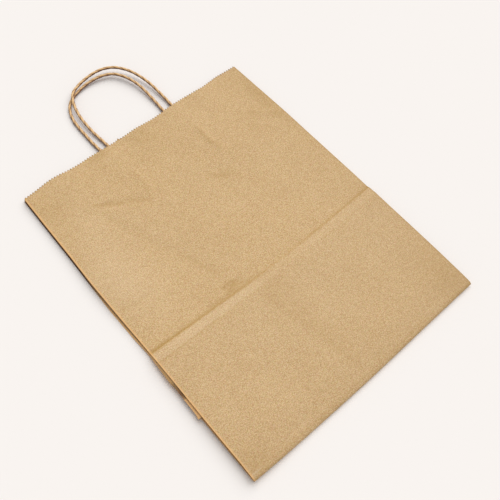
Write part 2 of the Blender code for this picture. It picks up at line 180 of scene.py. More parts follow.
@dataclass(frozen=True)
class KraftPaper:
    """Unbleached kraft paper, machine finished: a matte brown sheet with fibres and dark specks."""

    name: str = "kraft_paper"
    # The two browns between which the fibres vary, and the dark bark specks in the pulp.
    dark: str = "#B38B52"
    light: str = "#E1C191"
    speck: str = "#6E4E28"
    # Browning with painted shade in creases and along wrinkles, painted sheen and highlights, a painted
    # highlight on the outer folds, and painted shade in the gap between the layers.
    wear_and_painted_shade: str = "#A37A26"
    painted_highlight: str = "#F0DCC0"
    fold: str = "#F3BE7C"
    gap: str = "#63360A"
    # Broad clouds and mottle keep the sheet from looking flat. Each has its weight in the tone.
    cloud_mm: float = 38.0
    cloud_weight: float = 0.2
    mottle_mm: float = 5.0
    mottle_weight: float = 0.26
    # Real fibres are 0.03 mm wide. Grain and fibres are drawn as coarse as they need to show.
    grain_mm: float = 0.8
    grain_weight: float = 2.7
    fibre_mm: float = 2.4
    fibre_width_mm: float = 0.34
    fibre_depth_mm: float = 4.0
    fibre_weight: float = 0.6
    # Fibres lie in three directions, given as a turn in degrees and a share.
    fibre_turns: tuple[tuple[float, float], ...] = ((38.0, 0.4), (-24.0, 0.35), (97.0, 0.25))
    # Fibres bend over this length, by this many metres.
    bend_mm: float = 6.0
    bend_reach: float = 0.006
    # The summed tone between these two values runs from the dark brown to the light one.
    tone_low: float = 1.44
    tone_high: float = 2.33
    # Specks, up to speck_mm in radius, are drawn larger than most real ones so that they show.
    speck_cell_mm: float = 9.0
    speck_mm: float = 0.42
    speck_core: float = 0.6
    speck_rarity: float = 0.74
    speck_strength: float = 0.75
    # Slight changes of hue, as of mixed pulp.
    hue_mm: float = 1.4
    hue_share: float = 0.3
    # Matte, with a little more sheen where the mottle is dark.
    roughness: float = 0.6
    rougher: float = 0.07
    smoother: float = 0.05
    # The surface's fine tooth: height, strength and what grain, fibres and mottle add to it.
    grain_height_mm: float = 0.035
    bump_strength: float = 0.55
    tooth_weights: tuple[float, float, float] = (0.7, 0.5, 0.6)
    # Noise is read along tilted axes, since it fades where a flat sheet lies in its own planes.
    tilt: tuple[float, float, float] = (0.7, 0.5, 0.3)
    noise_roughness: float = 0.55

    def build(self) -> Material:
        """Build the paper's nodes: clouds, mottle, grain and fibres mix two browns.

        Returns:
            The finished material.
        """
        material, tree, shader = new_material(self.name)
        where = add_node(tree, "ShaderNodeTexCoord").outputs["Object"]
        tilted = add_node(tree, "ShaderNodeVectorRotate", {"rotation_type": "EULER_XYZ"}, Vector=where,
                          Rotation=self.tilt).outputs[0]
        cloud, mottle, grain = [
            add_node(tree, "ShaderNodeTexNoise", Vector=tilted, Scale=scale_for(size_mm), Detail=detail,
                     Roughness=self.noise_roughness).outputs["Fac"]
            for size_mm, detail in ((self.cloud_mm, 2.0), (self.mottle_mm, 3.0), (self.grain_mm, 2.0))]
        fibre = self.fibres(tree, where)
        tone = self.sum_of(tree, [(cloud, self.cloud_weight), (mottle, self.mottle_weight),
                                  (grain, self.grain_weight), (fibre, self.fibre_weight)])
        share = add_node(tree, "ShaderNodeMapRange", Value=tone, From_Min=self.tone_low,
                         From_Max=self.tone_high)
        paper = add_node(tree, "ShaderNodeMix", {"data_type": "RGBA"}, i0=share.outputs[0],
                         i6=linear(self.dark), i7=linear(self.light))
        hues = add_node(tree, "ShaderNodeTexNoise", Vector=tilted, Scale=scale_for(self.hue_mm), Detail=2.0)
        paper = add_node(tree, "ShaderNodeMix", {"data_type": "RGBA", "blend_type": "SOFT_LIGHT"},
                         i0=self.hue_share, i6=paper.outputs[2], i7=hues.outputs["Color"])
        # Mix in the browning and painted shade, the painted sheen and highlights, the painted fold
        # highlight and the painted shade of the gaps.
        tints = {"wear_and_painted_shade": self.wear_and_painted_shade, "painted_highlight": self.painted_highlight, "fold": self.fold, "gap": self.gap}
        for attribute, tint in tints.items():
            share = add_node(tree, "ShaderNodeAttribute", {"attribute_name": attribute}).outputs["Fac"]
            paper = add_node(tree, "ShaderNodeMix", {"data_type": "RGBA"}, i0=share,
                             i6=paper.outputs[2], i7=linear(tint))
        specked = add_node(tree, "ShaderNodeMix", {"data_type": "RGBA"}, i0=self.specks(tree, where),
                           i6=paper.outputs[2], i7=linear(self.speck))
        tree.links.new(specked.outputs[2], shader.inputs["Base Color"])
        rough = add_node(tree, "ShaderNodeMapRange", Value=mottle, To_Min=self.roughness - self.smoother,
                         To_Max=self.roughness + self.rougher)
        tree.links.new(rough.outputs[0], shader.inputs["Roughness"])
        tooth = self.sum_of(tree, list(zip((grain, fibre, mottle), self.tooth_weights)))
        bump = add_node(tree, "ShaderNodeBump", Strength=self.bump_strength,
                        Distance=self.grain_height_mm * MILLIMETRE, Height=tooth)
        tree.links.new(bump.outputs[0], shader.inputs["Normal"])
        shader.inputs["Metallic"].default_value = 0.0
        shader.inputs["IOR"].default_value = CELLULOSE_IOR
        return material

    def fibres(self, tree: Tree, where: Socket) -> Socket:
        """Lay slightly bent fibre bundles in the sheet's plane, in several directions.

        Args:
            tree: The material's node tree.
            where: The object coordinates.

        Returns:
            The fibres' tone.
        """
        bend = add_node(tree, "ShaderNodeTexNoise", Vector=where, Scale=scale_for(self.bend_mm), Detail=1.0)
        bent = add_node(tree, "ShaderNodeVectorMath", {"operation": "MULTIPLY_ADD"},
                        i0=bend.outputs["Color"], i1=(self.bend_reach, self.bend_reach, 0.0), i2=where)
        size = tuple(scale_for(mm) for mm in (self.fibre_mm, self.fibre_width_mm, self.fibre_depth_mm))
        streaks = []
        for turn, share in self.fibre_turns:
            turned = add_node(tree, "ShaderNodeMapping", Vector=bent.outputs[0],
                              Rotation=(0.0, 0.0, math.radians(turn)), Scale=size)
            streak = add_node(tree, "ShaderNodeTexNoise", Vector=turned.outputs[0], Scale=1.0, Detail=1.0)
            streaks.append((streak.outputs["Fac"], share))
        return self.sum_of(tree, streaks)

    def specks(self, tree: Tree, where: Socket) -> Socket:
        """Scatter bark specks, in about one cell of four.

        Args:
            tree: The material's node tree.
            where: The object coordinates.

        Returns:
            The specks' mask.
        """
        cells = add_node(tree, "ShaderNodeTexVoronoi", Vector=where, Scale=scale_for(self.speck_cell_mm))
        radius = self.speck_mm / self.speck_cell_mm
        inside = add_node(tree, "ShaderNodeMapRange", Value=cells.outputs["Distance"], From_Min=radius,
                          From_Max=self.speck_core * radius)
        chosen = add_node(tree, "ShaderNodeSeparateColor", Color=cells.outputs["Color"])
        rare = add_node(tree, "ShaderNodeMath", {"operation": "GREATER_THAN"}, i0=chosen.outputs[0],
                        i1=self.speck_rarity)
        both = add_node(tree, "ShaderNodeMath", {"operation": "MULTIPLY"}, i0=inside.outputs[0],
                        i1=rare.outputs[0])
        return add_node(tree, "ShaderNodeMath", {"operation": "MULTIPLY"}, i0=both.outputs[0],
                        i1=self.speck_strength).outputs[0]

    def sum_of(self, tree: Tree,
               parts: Sequence[tuple[Socket, float]]) -> Socket:
        """Add several sockets up.

        Args:
            tree: The material's node tree.
            parts: Each socket with its weight.

        Returns:
            The weighted sum.
        """
        total: Socket | float = 0.0
        for socket, weight in parts:
            total = add_node(tree, "ShaderNodeMath", {"operation": "MULTIPLY_ADD"}, i0=socket, i1=weight,
                             i2=total).outputs[0]
        return total


@dataclass(frozen=True)
class CordPaper:
    """Kraft paper twisted to a cord: harder and more golden than the sheet, with painted shade in its
    grooves and down its flanks.
    """

    name: str = "twisted_kraft_cord"
    # The grooves between the strands and the cord's flanks and underside get painted shade; its crests are
    # light and golden.
    groove_and_flank_shade: str = "#6E3505"
    crest: str = "#E9BF87"
    # Spots break the crests' even colour a little.
    mottle_mm: float = 2.2
    mottle_share: float = 0.5
    # Pressed by the twisting, so a little smoother than the sheet.
    roughness: float = 0.52
    bump_strength: float = 0.4
    bump_height_mm: float = 0.06

    def build(self) -> Material:
        """Build the cord's nodes: the painted shade attribute mixes the shade colour and the crest colour.

        Returns:
            The finished material.
        """
        material, tree, shader = new_material(self.name)
        where = add_node(tree, "ShaderNodeTexCoord").outputs["Object"]
        spots = add_node(tree, "ShaderNodeTexNoise", Vector=where, Scale=scale_for(self.mottle_mm),
                         Detail=2.0)
        painted_cord_shade = add_node(tree, "ShaderNodeAttribute", {"attribute_name": "painted_cord_shade"}).outputs["Fac"]
        share = add_node(tree, "ShaderNodeMath", {"operation": "MULTIPLY_ADD", "use_clamp": True},
                         i0=spots.outputs["Fac"], i1=self.mottle_share, i2=-self.mottle_share / 2)
        mixed = add_node(tree, "ShaderNodeMath", {"operation": "ADD", "use_clamp": True},
                         i0=painted_cord_shade, i1=share.outputs[0])
        colour = add_node(tree, "ShaderNodeMix", {"data_type": "RGBA"}, i0=mixed.outputs[0],
                          i6=linear(self.groove_and_flank_shade), i7=linear(self.crest))
        tree.links.new(colour.outputs[2], shader.inputs["Base Color"])
        bump = add_node(tree, "ShaderNodeBump", Strength=self.bump_strength,
                        Distance=self.bump_height_mm * MILLIMETRE, Height=spots.outputs["Fac"])
        tree.links.new(bump.outputs[0], shader.inputs["Normal"])
        shader.inputs["Metallic"].default_value = 0.0
        shader.inputs["Roughness"].default_value = self.roughness
        shader.inputs["IOR"].default_value = CELLULOSE_IOR
        return material


@dataclass(frozen=True)
class StudioPaint:
    """Matt white studio paint with a warm cast, which shows the soft shadow and no gloss."""

    name: str = "matt_studio_paint"
    colour: str = PALE
    roughness: float = 0.95

    def build(self) -> Material:
        """Build the floor's plain paint.

        Returns:
            The finished material.
        """
        material, _, shader = new_material(self.name)
        shader.inputs["Base Color"].default_value = linear(self.colour)
        shader.inputs["Roughness"].default_value = self.roughness
        shader.inputs["Specular IOR Level"].default_value = 0.0
        return material


@dataclass(frozen=True)
class Profile:
    """A value along a line, given at some places and straight between them."""

    knots: tuple[tuple[float, float], ...]

    def at(self, place: Array) -> Array:
        """Return the value at each place."""
        places, values = zip(*self.knots)
        return np.interp(place, places, values)


@dataclass(frozen=True)
class Swell:
    """A broad rise or dip of the upper sheets, in millimetres on the panel."""

    x: float
    y: float
    reach_x: float
    reach_y: float
    height: float
    turn_deg: float = 0.0

    def rise(self, x: Array, y: Array) -> Array:
        """Raise the places around the swell's middle.

        Args:
            x: Places across the panel.
            y: Places along the panel.

        Returns:
            The rise at each place.
        """
        turn = math.radians(self.turn_deg)
        across, along = x - self.x, y - self.y
        u = (across * math.cos(turn) + along * math.sin(turn)) / self.reach_x
        v = (along * math.cos(turn) - across * math.sin(turn)) / self.reach_y
        return self.height * np.exp(-(u * u + v * v))


@dataclass(frozen=True)
class Ripple:
    """A regular wave of the sheets, in millimetres. Each length is that of one radian of the wave."""

    height: float
    across: float
    along: float = math.inf
    start: float = 0.0

    def rise(self, x: Array, y: Array) -> Array:
        """Return the rise at places on the panel."""
        return self.height * np.sin(x / self.across + y / self.along + self.start)


@dataclass(frozen=True)
class Wrinkle:
    """A line in the paper, in millimetres on the panel: a ridge or valley that fades at its ends."""

    route: tuple[tuple[float, float], ...]
    width: float
    height: float
    fade_in: float = 0.15
    fade_out: float = 0.3

    def rise(self, x: Array, y: Array) -> Array:
        """Raise the places close to the line.

        Args:
            x: Places across the panel.
            y: Places along the panel.

        Returns:
            The rise at each place.
        """
        points = np.array(self.route, float)
        spans = np.hypot(*(points[1:] - points[:-1]).T)
        whole = spans.sum()
        best = np.full(x.shape, np.inf)
        along = np.zeros(x.shape)
        gone = 0.0
        for start, end, span in zip(points, points[1:], spans):
            step = (end - start) / span
            t = np.clip((x - start[0]) * step[0] + (y - start[1]) * step[1], 0.0, span)
            far = np.hypot(x - start[0] - t * step[0], y - start[1] - t * step[1])
            closer = far < best
            best = np.where(closer, far, best)
            along = np.where(closer, (gone + t) / whole, along)
            gone += span
        fade = smooth_step(along, 0.0, self.fade_in) * smooth_fall(along, 1 - self.fade_out, 1.0)
        return self.height * (bell(best, 0.0, self.width) * fade)


@dataclass
class Panel:
    """Where the back panel lies in the row frame, and the relief that its paper has."""

    width: float = 0.254
    height: float = 0.325
    gusset: float = 0.127
    # The mouth's edge stands in short waves over this many millimetres below it.
    mouth_reach_mm: float = 40.0
    # The upper sheets can't sink deeper than this into the layers below.
    deepest_mm: float = 0.75

    def __post_init__(self) -> None:
        """Read the panel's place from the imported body."""
        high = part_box("bag_body")[1]
        self.right = high.x
        self.mouth = high.y
        self.bottom = self.mouth - self.height
        self.middle = self.right - self.width / 2

    def on_panel(self, x: Array, y: Array) -> tuple[Array, Array]:
        """Return places of the row frame in millimetres from the panel's middle and bottom fold."""
        return (x - self.middle) / MILLIMETRE, (y - self.mouth + self.height) / MILLIMETRE

    def swells(self) -> list[Swell]:
        """Return the broad forms of the upper sheets, in millimetres from middle and bottom fold."""
        return [
            Swell(-118, 198, 32, 48, 2.8, 6),
            Swell(-108, 272, 26, 34, 0.5),
            Swell(-92, 322, 22, 42, 1.1),
            Swell(48, 318, 14, 40, 0.6),
            Swell(-34, 318, 14, 40, 0.5),
            Swell(112, 312, 22, 50, -0.9),
            Swell(28, 233, 9, 6, -0.5, 40),
            Swell(40, 60, 46, 60, 0.45, 8),
        ]

    def wrinkles(self) -> list[Wrinkle]:
        """Return the narrow lines in the upper sheets."""
        return [
            Wrinkle(((-84, 279), (-62, 266), (-34, 251)), 4.0, -0.45),
            Wrinkle(((-31, 290), (-31, 272), (-30, 250)), 4.0, 0.3),
            Wrinkle(((47, 292), (47, 268), (50, 242)), 4.0, 0.4),
            Wrinkle(((-88, 279), (-61, 212), (-34, 142)), 7.0, -0.35),
            Wrinkle(((-126, 179), (-108, 174), (-90, 180)), 5.0, -0.35),
            Wrinkle(((99, 273), (118, 252), (127, 242)), 5.0, 0.3),
            Wrinkle(((-48, 136), (-34, 138), (-21, 133)), 3.5, -0.35),
        ]

    def rise(self, x: Array, y: Array) -> Array:
        """Lift the upper sheets from their packed place.

        Args:
            x: Places across the panel, in millimetres from its middle.
            y: Places along the panel, in millimetres from the bottom fold.

        Returns:
            The rise at each place, in millimetres.
        """
        total = np.zeros(x.shape)
        for form in [*self.swells(), *self.wrinkles()]:
            total += form.rise(x, y)
        edge = Ripple(0.35, 11.0, start=0.4).rise(x, y) + Ripple(0.25, 6.3, start=2.0).rise(x, y)
        height_mm = self.height / MILLIMETRE
        total += edge * smooth_step(y, height_mm - self.mouth_reach_mm, height_mm)
        total += Ripple(0.12, 17.0, 23.0).rise(x, y) + Ripple(0.1, -31.0, 14.0, 1.0).rise(x, y)
        return np.maximum(total, -self.deepest_mm)


@dataclass(frozen=True)
class Outline:
    """How the edges and the crease stray from their packed lines, in millimetres on the panel.

    x counts from the panel's middle and y from the bottom fold. A share of 1 is for the upper
    sheets and 0 for the lower ones.
    """

    half: float = 127.0
    mouth_y: float = 325.0
    # The bottom crease bends, and the paper around it follows.
    crease: Profile = Profile(((-127, 1.6), (-60, 0.4), (-10, -1.4), (35, -1.6), (127, 0.8)))
    crease_y: float = 128.0
    crease_reach: float = 26.0
    # The mouth's zigzag teeth are cut deeper by this share, so that they show.
    tooth_share: float = 0.6
    tooth_height: float = 1.1
    # The lower sheets' left edge has a step below the crease.
    step_height: float = 4.2
    step_y: float = 84.0
    step_reach: float = 16.0
    # The mouth's edge waves: place, reach and height of its bulges, then its smaller bends.
    mouth_bulges: tuple[tuple[float, float, float], ...] = (
        (-93, 15, 1.9), (46, 13, 0.7), (-35, 14, 0.5), (100, 12, 0.3))
    mouth: Profile = Profile((
        (-122, 0.8), (-102, 1.9), (-81, 0.7), (-55, 1.6), (-38, 0.4), (0, 1.2), (20, 0.0), (60, 1.5),
        (84, -0.2), (104, 1.8), (122, 1.1)))
    # The front panel's mouth looks out under the back panel's at both corners.
    lower_mouth: Profile = Profile(
        ((-127, 0.9), (-100, 0.9), (-80, 0.0), (60, 0.0), (90, 0.8), (127, 0.6)))
    # One tooth stands out as a tuft of torn fibres.
    tuft_height: float = 1.3
    tuft_x: float = -21.0
    tuft_reach: float = 1.8
    # Both sides bow outward, and each edge has its own waves.
    bow: float = 1.2
    right: Profile = Profile((
        (0, 0.8), (12, 1.1), (40, 1.5), (100, 1.6), (150, 1.9), (200, 2.2), (225, 1.9), (260, 1.2),
        (325, 0.6)))
    lower_left: Profile = Profile((
        (0, 0.9), (66, 0.6), (76, -0.9), (84, -1.6), (92, -0.6), (100, 0.0), (112, -0.3), (122, -0.8),
        (130, -1.1), (140, -0.6), (150, 0.2), (162, 0.5), (188, 1.3), (214, 1.2), (250, 0.9), (325, 0.9)))
    upper_left: Profile = Profile((
        (0, 0.6), (15, 0.1), (60, -0.2), (100, -0.7), (150, -0.7), (185, 0.0), (215, 0.4), (250, -0.3),
        (325, -0.3)))
    # The bottom fold sags in the middle and is a little higher towards the right.
    fold_sag: float = 1.4
    fold: Profile = Profile(
        ((-127, 0.3), (-100, 0.0), (0, 0.1), (30, 0.5), (60, 0.8), (110, 0.8), (127, 0.5)))
    # The folded base has sprung open at its left side and lifts the sheets there.
    spring: float = 1.9

    def upward(self, x: Array, y: Array) -> Array:
        """Return how far the sprung base lifts the sheets, all layers alike."""
        return self.spring * smooth_fall(x, -self.half, -62) * smooth_fall(y, 108, 165)

    def along(self, x: Array, y: Array, share: Array) -> Array:
        """Shift the sheets towards the mouth.

        Args:
            x: Places across the panel.
            y: Places along the panel.
            share: How fully each point follows the upper sheets.

        Returns:
            The shift of each point.
        """
        total = self.crease.at(x) * bell(y, self.crease_y, self.crease_reach)
        below_tips = np.clip(self.mouth_y - y, 0.0, self.tooth_height)
        total -= self.tooth_share * below_tips * (y > self.mouth_y - 2)
        step = self.step_height * bell(y, self.step_y, self.step_reach) * smooth_fall(x, -self.half, -60)
        total += step * (1 - share)
        wave = self.mouth.at(x)
        for place, reach, height in self.mouth_bulges:
            wave += height * bell(x, place, reach)
        wave += self.tuft_height * bell(x, self.tuft_x, self.tuft_reach) * share
        wave += self.lower_mouth.at(x) * (1 - share)
        total += wave * smooth_step(y, 270, self.mouth_y)
        total -= self.fold_sag * (1 - (x / self.half) ** 2) * smooth_fall(y, 0, 90)
        total += self.fold.at(x) * smooth_fall(y, 0, 60)
        return total

    def across(self, x: Array, y: Array, share: Array) -> Array:
        """Shift the sheets to the right, most at the edges.

        Args:
            x: Places across the panel.
            y: Places along the panel.
            share: How fully each point follows the upper sheets.

        Returns:
            The shift of each point.
        """
        bowed = self.bow * (1 - ((y - 162) / 163) ** 2)
        left = self.lower_left.at(y)
        left += (self.upper_left.at(y) - left) * share
        return (bowed + np.where(x > 0, self.right.at(y), left)) * (x / self.half)


@dataclass(frozen=True)
class Tones:
    """Where the paper is browned, and where shade, sheen and highlights are painted on it, in shares at
    places on the panel in millimetres.
    """

    mouth_y: float = 325.0
    # The crease's dark line, partly browning and partly painted shade in its valley: its place, how far it
    # fades towards the mouth, and its strength.
    crease_line: Profile = Profile((
        (-127, 129.4), (-110, 129.3), (-80, 128.6), (-50, 127.9), (-25, 127.4), (20, 127.4), (50, 127.2),
        (90, 128.2), (127, 128.8)))
    crease_fade: Profile = Profile((
        (-127, 2.2), (-80, 2.4), (-50, 4.5), (-25, 4.8), (-5, 4.0), (20, 3.0), (50, 3.0), (90, 2.0),
        (127, 2.2)))
    crease_strength: Profile = Profile((
        (-127, 0.46), (-110, 0.44), (-80, 0.36), (-50, 0.24), (-25, 0.26), (-5, 0.1), (20, 0.0),
        (50, 0.14), (90, 0.17), (115, 0.28), (127, 0.28)))
    crease_below: float = 1.1
    # The browning and painted shade are strengthened by this factor.
    darkening_gain: float = 1.35
    # The band between the crease's two lines gets a painted highlight.
    highlight_band: Profile = Profile(((-127, 0.12), (-40, 0.13), (0, 0.06), (25, 0.04), (50, 0.07), (127, 0.06)))

    def browning_and_painted_shade(self, x: Array, y: Array) -> Array:
        """Darken the paper with browning and painted shade: in the crease, along the wrinkles, in dark
        patches, and towards the bottom and the right.

        Args:
            x: Places across the panel.
            y: Places along the panel.

        Returns:
            How darkened each place is.
        """
        # The crease's dark line is partly browning and partly painted shade in its valley.
        past = y - self.crease_line.at(x)
        reach = np.where(past > 0, self.crease_fade.at(x), self.crease_below)
        total = self.crease_strength.at(x) * bell(past, 0.0, reach)
        # A second faint dark line below the crease, on the left.
        total += 0.14 * bell(y, 118.3, 0.7) * smooth_fall(x, -85, -60)
        for mark in [*self.painted_shade_lines(), *self.dark_patches()]:
            total += mark.rise(x, y)
        # Darker towards the bottom and towards the right.
        total += 0.03 * smooth_fall(y, 20, 120) + 0.05 * smooth_step(x * 0.8 - y * 0.35, -57, 100)
        return total * self.darkening_gain

    def dark_patches(self) -> list[Swell]:
        """Return the places where the paper is broadly darker, with how much as their height."""
        return [
            Swell(33, 228, 10, 4, 0.2, -20), Swell(122, 272, 8, 40, 0.16), Swell(90, 262, 12, 22, 0.06),
            Swell(-112, 296, 14, 30, 0.07), Swell(6, 314, 14, 12, 0.09), Swell(-44, 320, 12, 5, 0.16),
            Swell(116, 20, 16, 26, 0.12), Swell(-120, 6, 16, 16, 0.12), Swell(-34, 135, 12, 5, 0.1),
            Swell(-8, 106, 16, 16, 0.08), Swell(-4, 60, 8, 50, 0.07, 6), Swell(126, 120, 8, 90, 0.05),
            Swell(-21, 325, 2, 2, 0.7), Swell(108, 300, 26, 22, 0.05),
        ]

    def painted_shade_lines(self) -> list[Wrinkle]:
        """Return the lines, mostly along wrinkles, dents and folds, where shade is painted on the paper,
        with how much as their height.
        """
        return [
            Wrinkle(((-83, 279), (-70, 271), (-58, 263)), 2.2, 0.24, 0.05, 0.1),
            Wrinkle(((-58, 263), (-46, 256), (-33, 250)), 2.0, 0.12, 0.05, 0.3),
            Wrinkle(((-31, 291), (-31, 272), (-30, 250)), 1.6, 0.1),
            Wrinkle(((47, 290), (47, 268), (52, 243)), 2.0, 0.2),
            Wrinkle(((-88, 300), (-86, 279), (-61, 212), (-34, 142)), 4.0, 0.06),
            Wrinkle(((-48, 186), (-42, 164), (-33, 142)), 2.0, 0.12),
            Wrinkle(((-126, 180), (-110, 174), (-91, 179)), 1.8, 0.14),
            Wrinkle(((-46, 137), (-36, 140), (-25, 136)), 1.7, 0.26),
            Wrinkle(((-44, 131), (-34, 136), (-24, 131)), 1.5, 0.2),
            Wrinkle(((20, 240), (26, 234), (30, 230)), 1.6, 0.18),
            Wrinkle(((-20, 115), (-10, 60), (-1, 8)), 2.4, 0.08, 0.05, 0.05),
            Wrinkle(((-10, 319), (-5, 306), (12, 302)), 1.8, 0.1),
            Wrinkle(((99, 272), (112, 256), (126, 243)), 2.0, 0.12),
            Wrinkle(((-120, 3), (-60, 2.4), (20, 2.6), (110, 3)), 0.8, 0.12),
        ]

    def shade(self, x: Array, y: Array) -> Array:
        """Paint shade on the base, along the bottom fold and on the right side.

        Args:
            x: Places across the panel.
            y: Places along the panel.

        Returns:
            How much darker each place is.
        """
        base = smooth_fall(y, 110, 124)
        total = 0.03 * base + 0.055 * smooth_fall(y, 6, 34)
        total += 0.022 * smooth_step(x, 70, 105) * smooth_fall(y, 170, 230)
        total += 0.022 * smooth_fall(x, -105, -65) * base
        return total

    def painted_sheen_and_highlights(self, x: Array, y: Array) -> Array:
        """Paint sheen and highlights: a band beside the crease, broad patches on the left, the base and a
        line near the bottom fold.

        Args:
            x: Places across the panel.
            y: Places along the panel.

        Returns:
            How much painted sheen or highlight each place has.
        """
        total = smooth_step(y, 118.2, 119.4) * smooth_fall(y, 126.2, 127.8) * self.highlight_band.at(x)
        for spot in (Swell(-106, 203, 24, 50, 0.12, 8), Swell(-98, 278, 20, 44, 0.04, 8),
                     Swell(-58, 220, 22, 75, 0.04, 20)):
            total += spot.rise(x, y)
        total += 0.035 * smooth_fall(y, 112, 122)
        total += 0.25 * bell(y, 3.2, 0.7) * smooth_fall(x, -119, -115)
        return total

    def mixed(self, x: Array, y: Array, share: Array, on_top: Array,
              depth: Array) -> dict[str, Array]:
        """Give every point of the sheet its tones.

        Args:
            x: Places across the panel.
            y: Places along the panel.
            share: How fully each point follows the upper sheets.
            on_top: 1 for points of the back panel's upper side, 0 for the rest.
            depth: How far each point lies under that side.

        Returns:
            Shares from 0 to 1 for each tint: browning with painted shade in the crease and along the
                wrinkles, painted sheen and highlights, a painted highlight on the left side's outer folds,
                and painted shade between the layers, at the tooth tips, on the base and on the right side.
        """
        # Left side: a painted highlight on the outer folds and painted shade in the gap between the layers.
        left_edge = smooth_step(np.abs(x), 126.2, 126.8) * np.where(x < 0, 1.0, 0.0)
        open_side = smooth_fall(y, 185, 235)
        below = smooth_step(depth, 0.75, 1.0) * open_side
        gap = smooth_step(depth, 0.3, 0.42) * (1 - below)
        second = smooth_step(depth, 0.8, 1.1) * open_side
        tones = {
            # The right side's folded edge is darkened a little.
            "wear_and_painted_shade": self.browning_and_painted_shade(x, y) * on_top + 0.4 * smooth_step(x, 126.2, 126.8) * share,
            "painted_highlight": self.painted_sheen_and_highlights(x, y) * on_top,
            "fold": 0.8 * left_edge * np.maximum(share, second),
            # Painted shade in the gap, at the mouth's tooth tips, and on the base and the right side.
            "gap": left_edge * gap + 0.6 * smooth_step(y, 324.1, self.mouth_y) + self.shade(x, y),
        }
        return {name: np.clip(tone, 0, 1) for name, tone in tones.items()}


